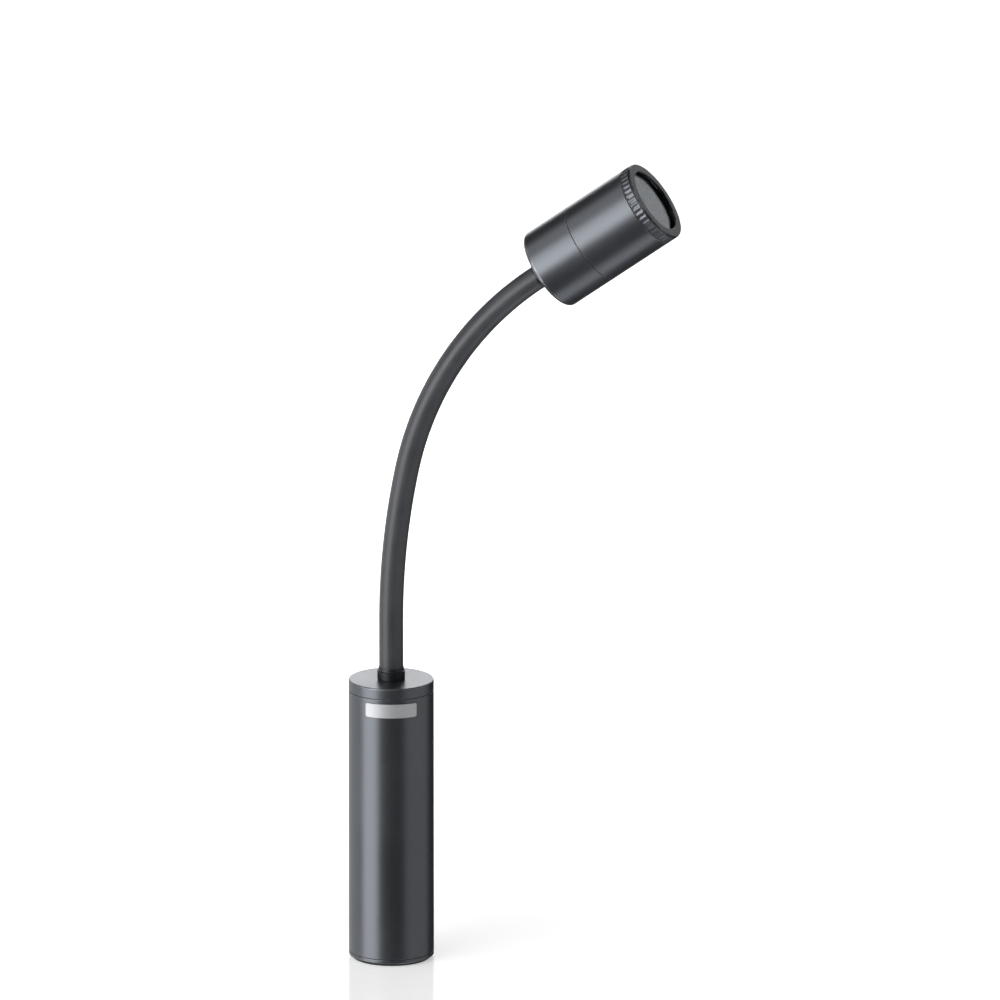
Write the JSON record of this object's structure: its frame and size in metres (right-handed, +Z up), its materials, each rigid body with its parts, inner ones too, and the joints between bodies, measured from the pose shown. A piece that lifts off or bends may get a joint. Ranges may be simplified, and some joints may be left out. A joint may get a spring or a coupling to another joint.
{
  "type": "examination lamp",
  "caption": "Cordless examination lamp: round weighted base with a battery, bendable gooseneck and a cylindrical LED head with a focusing ring.",
  "frame": {"origin": "centre of the foot's underside, on the base's axis", "axes": "+Z up along the base's axis; +X is the direction the neck bends in; the nameplate faces mostly -Y, and the button and inlet face +Y"},
  "size_m": [0.2379, 0.0622, 0.586],
  "materials": {
    "body": "satin",
    "trim": "satin",
    "sleeve": "satin",
    "links": "satin",
    "rubber": "matte",
    "nameplate": "satin",
    "steel": "satin",
    "black_plastic": "matte",
    "cells": "satin",
    "circuit_board": "satin",
    "heat_sink": "satin",
    "led": "satin",
    "glass": "gloss",
    "clear_plastic": "gloss"
  },
  "bodies": {
    "base": {"rubber_foot": "rubber", "base_plate": "body", "ballast_weight": "steel", "base_screw_1": "steel", "base_screw_2": "steel", "base_screw_3": "steel", "base_tube": "body", "base_top_cap": "body", "battery_tray": "black_plastic", "battery_lid": "black_plastic", "battery_cell_1": "cells", "battery_cell_2": "cells", "battery_cell_3": "cells", "control_board": "circuit_board", "button_switch": "black_plastic", "charging_inlet": "black_plastic", "nameplate": "nameplate", "neck_collar": "trim", "neck_lock_nut": "steel"},
    "button": {"power_button": "black_plastic"},
    "link_01": {"neck_link_01": "links", "neck_sleeve_01": "sleeve"},
    "link_02": {"neck_link_02": "links", "neck_sleeve_02": "sleeve"},
    "link_03": {"neck_link_03": "links", "neck_sleeve_03": "sleeve"},
    "link_04": {"neck_link_04": "links", "neck_sleeve_04": "sleeve"},
    "link_05": {"neck_link_05": "links", "neck_sleeve_05": "sleeve"},
    "link_06": {"neck_link_06": "links", "neck_sleeve_06": "sleeve"},
    "link_07": {"neck_link_07": "links", "neck_sleeve_07": "sleeve"},
    "link_08": {"neck_link_08": "links", "neck_sleeve_08": "sleeve"},
    "link_09": {"neck_link_09": "links", "neck_sleeve_09": "sleeve"},
    "link_10": {"neck_link_10": "links", "neck_sleeve_10": "sleeve"},
    "link_11": {"neck_link_11": "links", "neck_sleeve_11": "sleeve"},
    "head": {"head_ferrule": "trim", "head_nut": "steel", "head_rear_housing": "body", "heat_sink": "heat_sink", "led_board": "circuit_board", "led_emitter": "led", "led_collimator": "clear_plastic", "board_screw_1": "steel", "board_screw_2": "steel", "head_barrel": "body", "glass_seal": "rubber", "front_glass": "glass", "bezel": "trim"},
    "carrier": {"lens_carrier": "trim", "condenser_lens": "glass", "lens_ring": "trim"},
    "ring": {"focus_ring": "body"}
  },
  "joints": [
    {"name": "neck_bend_low", "type": "hinge", "parent": "base", "child": "link_01", "pos_m": [0, 0, 0.213], "axis": [0, 1, 0], "range_deg": [-10, 12]},
    {"name": "neck_sway", "type": "hinge", "parent": "link_01", "child": "link_02", "pos_m": [0, 0, 0.24216], "axis": [1, 0, 0], "range_deg": [-12, 12]},
    {"name": "neck_bend_lower_middle", "type": "hinge", "parent": "link_02", "child": "link_03", "pos_m": [0.00064, 0, 0.27132], "axis": [0, 1, 0], "range_deg": [-10, 12]},
    {"name": "neck_bend_low_2", "type": "hinge", "parent": "link_03", "child": "link_04", "pos_m": [0.00285, 0, 0.3004], "axis": [0, 1, 0], "range_deg": [-10, 12]},
    {"name": "neck_sway_2", "type": "hinge", "parent": "link_04", "child": "link_05", "pos_m": [0.00662, 0, 0.32931], "axis": [0.9877, 0, -0.1561], "range_deg": [-12, 12]},
    {"name": "neck_bend_lower_middle_2", "type": "hinge", "parent": "link_05", "child": "link_06", "pos_m": [0.01195, 0, 0.35798], "axis": [0, 1, 0], "range_deg": [-10, 12]},
    {"name": "neck_bend_upper_middle", "type": "hinge", "parent": "link_06", "child": "link_07", "pos_m": [0.01983, 0, 0.38604], "axis": [0, 1, 0], "range_deg": [-10, 12]},
    {"name": "neck_sway_3", "type": "hinge", "parent": "link_07", "child": "link_08", "pos_m": [0.03108, 0, 0.41293], "axis": [0.8971, 0, -0.4418], "range_deg": [-12, 12]},
    {"name": "neck_bend_high", "type": "hinge", "parent": "link_08", "child": "link_09", "pos_m": [0.04553, 0, 0.43824], "axis": [0, 1, 0], "range_deg": [-10, 12]},
    {"name": "neck_bend_upper_middle_2", "type": "hinge", "parent": "link_09", "child": "link_10", "pos_m": [0.06297, 0, 0.46159], "axis": [0, 1, 0], "range_deg": [-10, 12]},
    {"name": "neck_sway_4", "type": "hinge", "parent": "link_10", "child": "link_11", "pos_m": [0.08313, 0, 0.48264], "axis": [0.6784, 0, -0.7347], "range_deg": [-12, 12]},
    {"name": "neck_bend_high_2", "type": "hinge", "parent": "link_11", "child": "head", "pos_m": [0.10572, 0, 0.50106], "axis": [0, 1, 0], "range_deg": [-10, 12]},
    {"name": "focus_turn", "type": "hinge", "parent": "head", "child": "ring", "pos_m": [0.18733, 0, 0.55971], "axis": [0.8121, 0, 0.5835], "range_deg": [-60, 60]},
    {"name": "lens_slide", "type": "slide", "parent": "head", "child": "carrier", "axis": [0.8121, 0, 0.5835], "range_m": [-0.0051, 0.0051]},
    {"name": "button_press", "type": "slide", "parent": "base", "child": "button", "axis": [0, -1, 0], "range_m": [0, 0.0008], "stiffness_N_per_m": 1500, "springref_m": -0.001}
  ],
  "couplings": [
    {"joint": "neck_bend_low_2", "follows": "neck_bend_low", "ratio": 1},
    {"joint": "neck_bend_lower_middle_2", "follows": "neck_bend_lower_middle", "ratio": 1},
    {"joint": "neck_bend_upper_middle_2", "follows": "neck_bend_upper_middle", "ratio": 1},
    {"joint": "neck_bend_high_2", "follows": "neck_bend_high", "ratio": 1},
    {"joint": "neck_sway_2", "follows": "neck_sway", "ratio": 1},
    {"joint": "neck_sway_3", "follows": "neck_sway", "ratio": 1},
    {"joint": "neck_sway_4", "follows": "neck_sway", "ratio": 1},
    {"joint": "lens_slide", "follows": "focus_turn", "m_per_rad": 0.004775}
  ]
}
